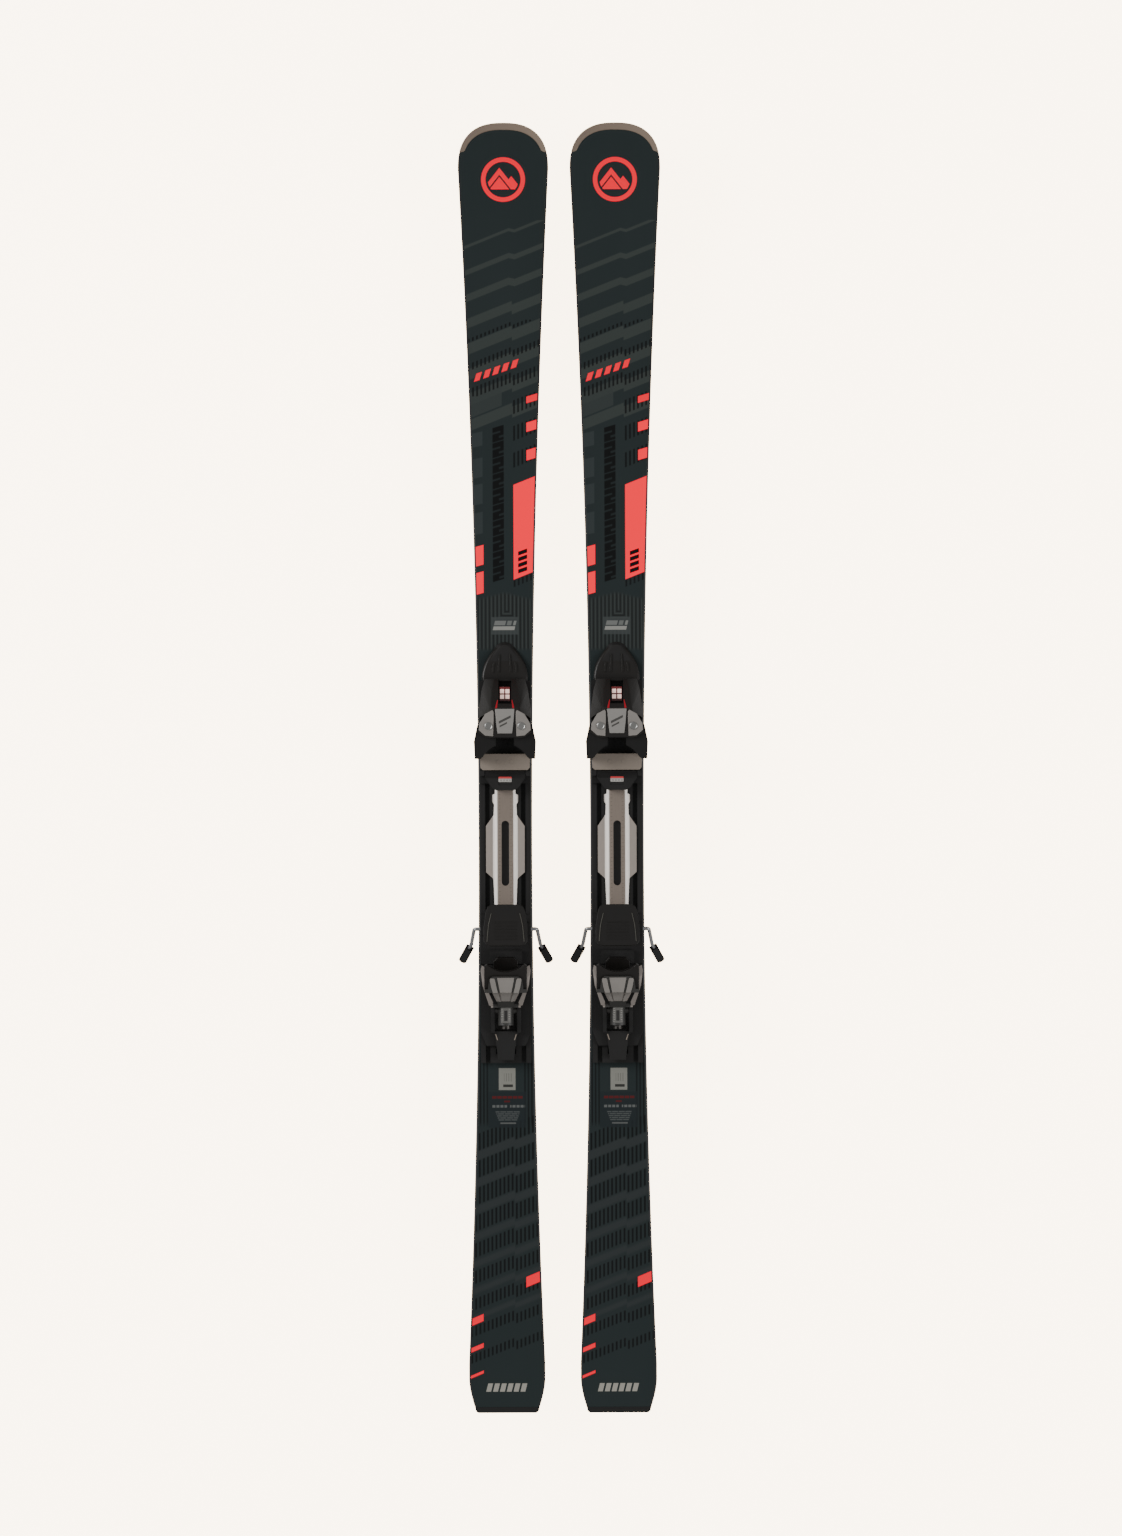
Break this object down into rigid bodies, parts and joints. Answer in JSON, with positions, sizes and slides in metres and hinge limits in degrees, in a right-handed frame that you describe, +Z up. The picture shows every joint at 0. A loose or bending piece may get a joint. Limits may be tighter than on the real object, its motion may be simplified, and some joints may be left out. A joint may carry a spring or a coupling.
{
  "type": "alpine skis with bindings",
  "caption": "Pair of shaped alpine skis with track-mounted step-in bindings: pivoting toe wings, opening heel cup, setting screws and sprung brake arms.",
  "frame": {"origin": "midway between the two skis and halfway along them, at the height of the lowered brakes' lowest points", "axes": "+Y to the ski tips, +X to the wearer's right, +Z up out of the top sheets"},
  "size_m": [0.277, 1.73, 0.147],
  "materials": {
    "base_black": "sintered, structured",
    "edge_steel": "ground",
    "sidewall_black": "smooth",
    "core_wood": "laminated, sealed inside",
    "top_sheet_slate": "satin with printed pattern",
    "bronze_metal": "satin bronze",
    "bronze_plastic": "satin bronze",
    "guard_black": "fine texture",
    "binding_black": "fine texture",
    "cover_black": "satin",
    "cast_silver": "satin silver",
    "screw_steel": "zinc plated",
    "spring_steel": "drawn wire",
    "wire_steel": "drawn wire"
  },
  "bodies": {
    "left_ski": {"left_running_base": "base_black", "left_steel_edges": "edge_steel", "left_sidewalls": "sidewall_black", "left_wood_core": "core_wood", "left_top_sheet": "top_sheet_slate", "left_tip_guard": "bronze_metal", "left_tail_guard": "guard_black", "left_binding_track": "binding_black", "left_track_screws": "screw_steel", "left_size_band": "bronze_metal"},
    "left_toe": {"left_toe_base": "binding_black", "left_toe_cover": "cover_black", "left_toe_wing_pins": "screw_steel", "left_toe_spring": "spring_steel"},
    "left_wing_l": {"left_toe_wing_l": "binding_black"},
    "left_wing_r": {"left_toe_wing_r": "binding_black"},
    "left_toe_screw": {"left_toe_setting_screw": "screw_steel"},
    "left_glide": {"left_glide_plate": "bronze_plastic"},
    "left_lever": {"left_size_lever": "cover_black"},
    "left_brake_base": {"left_brake_bracket": "binding_black"},
    "left_brake": {"left_brake_wire": "wire_steel", "left_brake_tips": "guard_black"},
    "left_pedal": {"left_brake_pedal": "cover_black"},
    "left_carriage": {"left_heel_carriage": "binding_black", "left_heel_pin": "screw_steel"},
    "left_heel": {"left_heel_housing": "cast_silver", "left_heel_cup": "cover_black", "left_heel_spring": "spring_steel"},
    "left_heel_screw": {"left_heel_setting_screw": "screw_steel"},
    "left_heel_lever": {"left_heel_lever": "binding_black"},
    "right_ski": {"right_running_base": "base_black", "right_steel_edges": "edge_steel", "right_sidewalls": "sidewall_black", "right_wood_core": "core_wood", "right_top_sheet": "top_sheet_slate", "right_tip_guard": "bronze_metal", "right_tail_guard": "guard_black", "right_binding_track": "binding_black", "right_track_screws": "screw_steel", "right_size_band": "bronze_metal"},
    "right_toe": {"right_toe_base": "binding_black", "right_toe_cover": "cover_black", "right_toe_wing_pins": "screw_steel", "right_toe_spring": "spring_steel"},
    "right_wing_l": {"right_toe_wing_l": "binding_black"},
    "right_wing_r": {"right_toe_wing_r": "binding_black"},
    "right_toe_screw": {"right_toe_setting_screw": "screw_steel"},
    "right_glide": {"right_glide_plate": "bronze_plastic"},
    "right_lever": {"right_size_lever": "cover_black"},
    "right_brake_base": {"right_brake_bracket": "binding_black"},
    "right_brake": {"right_brake_wire": "wire_steel", "right_brake_tips": "guard_black"},
    "right_pedal": {"right_brake_pedal": "cover_black"},
    "right_carriage": {"right_heel_carriage": "binding_black", "right_heel_pin": "screw_steel"},
    "right_heel": {"right_heel_housing": "cast_silver", "right_heel_cup": "cover_black", "right_heel_spring": "spring_steel"},
    "right_heel_screw": {"right_heel_setting_screw": "screw_steel"},
    "right_heel_lever": {"right_heel_lever": "binding_black"}
  },
  "joints": [
    {"name": "left_toe_position", "type": "slide", "parent": "left_ski", "child": "left_toe", "axis": [0, 1, 0], "range_m": [-0.01, 0.01]},
    {"name": "left_heel_position", "type": "slide", "parent": "left_ski", "child": "left_brake_base", "axis": [0, 1, 0], "range_m": [-0.01, 0.01]},
    {"name": "left_toe_release_r", "type": "hinge", "parent": "left_toe", "child": "left_wing_r", "pos_m": [-0.053, 0.057, 0.1113], "axis": [0, 0, 1], "range_deg": [0, 20], "stiffness_Nm_per_rad": 8, "springref_deg": -5.73},
    {"name": "left_toe_release_l", "type": "hinge", "parent": "left_toe", "child": "left_wing_l", "pos_m": [-0.097, 0.057, 0.1113], "axis": [0, 0, 1], "range_deg": [-20, 0], "stiffness_Nm_per_rad": 8, "springref_deg": 5.73},
    {"name": "left_toe_setting", "type": "hinge", "parent": "left_toe", "child": "left_toe_screw", "pos_m": [-0.075, 0.1, 0.0953], "axis": [0, 1, 0], "continuous": true},
    {"name": "left_glide", "type": "slide", "parent": "left_toe", "child": "left_glide", "axis": [1, 0, 0], "range_m": [-0.004, 0.004], "stiffness_N_per_m": 900},
    {"name": "left_size_lever", "type": "hinge", "parent": "left_toe", "child": "left_lever", "pos_m": [-0.075, -0.006, 0.0893], "axis": [1, 0, 0], "range_deg": [-55, 0]},
    {"name": "left_brake", "type": "hinge", "parent": "left_brake_base", "child": "left_brake", "pos_m": [-0.075, -0.215, 0.0853], "axis": [1, 0, 0], "range_deg": [-60, 0], "stiffness_Nm_per_rad": 1.5, "springref_deg": 57.3},
    {"name": "left_brake_pedal", "type": "hinge", "parent": "left_brake", "child": "left_pedal", "pos_m": [-0.075, -0.20151, 0.11868], "axis": [1, 0, 0], "range_deg": [0, 68.1]},
    {"name": "left_forward_pressure", "type": "slide", "parent": "left_brake_base", "child": "left_carriage", "axis": [0, 1, 0], "range_m": [-0.008, 0], "stiffness_N_per_m": 3000, "springref_m": 0.01},
    {"name": "left_heel_open", "type": "hinge", "parent": "left_carriage", "child": "left_heel", "pos_m": [-0.075, -0.288, 0.0916], "axis": [1, 0, 0], "range_deg": [-18, 0]},
    {"name": "left_heel_lever", "type": "hinge", "parent": "left_heel", "child": "left_heel_lever", "pos_m": [-0.075, -0.324, 0.0966], "axis": [1, 0, 0], "range_deg": [-16, 0]},
    {"name": "left_heel_setting", "type": "hinge", "parent": "left_heel", "child": "left_heel_screw", "pos_m": [-0.075, -0.342, 0.0981], "axis": [0, 1, 0], "continuous": true},
    {"name": "right_toe_position", "type": "slide", "parent": "right_ski", "child": "right_toe", "axis": [0, 1, 0], "range_m": [-0.01, 0.01]},
    {"name": "right_heel_position", "type": "slide", "parent": "right_ski", "child": "right_brake_base", "axis": [0, 1, 0], "range_m": [-0.01, 0.01]},
    {"name": "right_toe_release_r", "type": "hinge", "parent": "right_toe", "child": "right_wing_r", "pos_m": [0.097, 0.057, 0.1113], "axis": [0, 0, 1], "range_deg": [0, 20], "stiffness_Nm_per_rad": 8, "springref_deg": -5.73},
    {"name": "right_toe_release_l", "type": "hinge", "parent": "right_toe", "child": "right_wing_l", "pos_m": [0.053, 0.057, 0.1113], "axis": [0, 0, 1], "range_deg": [-20, 0], "stiffness_Nm_per_rad": 8, "springref_deg": 5.73},
    {"name": "right_toe_setting", "type": "hinge", "parent": "right_toe", "child": "right_toe_screw", "pos_m": [0.075, 0.1, 0.0953], "axis": [0, 1, 0], "continuous": true},
    {"name": "right_glide", "type": "slide", "parent": "right_toe", "child": "right_glide", "axis": [1, 0, 0], "range_m": [-0.004, 0.004], "stiffness_N_per_m": 900},
    {"name": "right_size_lever", "type": "hinge", "parent": "right_toe", "child": "right_lever", "pos_m": [0.075, -0.006, 0.0893], "axis": [1, 0, 0], "range_deg": [-55, 0]},
    {"name": "right_brake", "type": "hinge", "parent": "right_brake_base", "child": "right_brake", "pos_m": [0.075, -0.215, 0.0853], "axis": [1, 0, 0], "range_deg": [-60, 0], "stiffness_Nm_per_rad": 1.5, "springref_deg": 57.3},
    {"name": "right_brake_pedal", "type": "hinge", "parent": "right_brake", "child": "right_pedal", "pos_m": [0.075, -0.20151, 0.11868], "axis": [1, 0, 0], "range_deg": [0, 68.1]},
    {"name": "right_forward_pressure", "type": "slide", "parent": "right_brake_base", "child": "right_carriage", "axis": [0, 1, 0], "range_m": [-0.008, 0], "stiffness_N_per_m": 3000, "springref_m": 0.01},
    {"name": "right_heel_open", "type": "hinge", "parent": "right_carriage", "child": "right_heel", "pos_m": [0.075, -0.288, 0.0916], "axis": [1, 0, 0], "range_deg": [-18, 0]},
    {"name": "right_heel_lever", "type": "hinge", "parent": "right_heel", "child": "right_heel_lever", "pos_m": [0.075, -0.324, 0.0966], "axis": [1, 0, 0], "range_deg": [-16, 0]},
    {"name": "right_heel_setting", "type": "hinge", "parent": "right_heel", "child": "right_heel_screw", "pos_m": [0.075, -0.342, 0.0981], "axis": [0, 1, 0], "continuous": true},
    {"name": "pair_spacing", "type": "slide", "parent": "left_ski", "child": "right_ski", "axis": [1, 0, 0], "range_m": [-0.01, 0.12]}
  ],
  "couplings": [
    {"joint": "left_heel_position", "follows": "left_toe_position", "ratio": -1},
    {"joint": "left_brake_pedal", "follows": "left_brake", "ratio": -1.1333},
    {"joint": "left_heel_lever", "follows": "left_heel_open", "ratio": 0.6},
    {"joint": "right_heel_position", "follows": "right_toe_position", "ratio": -1},
    {"joint": "right_brake_pedal", "follows": "right_brake", "ratio": -1.1333},
    {"joint": "right_heel_lever", "follows": "right_heel_open", "ratio": 0.6}
  ]
}
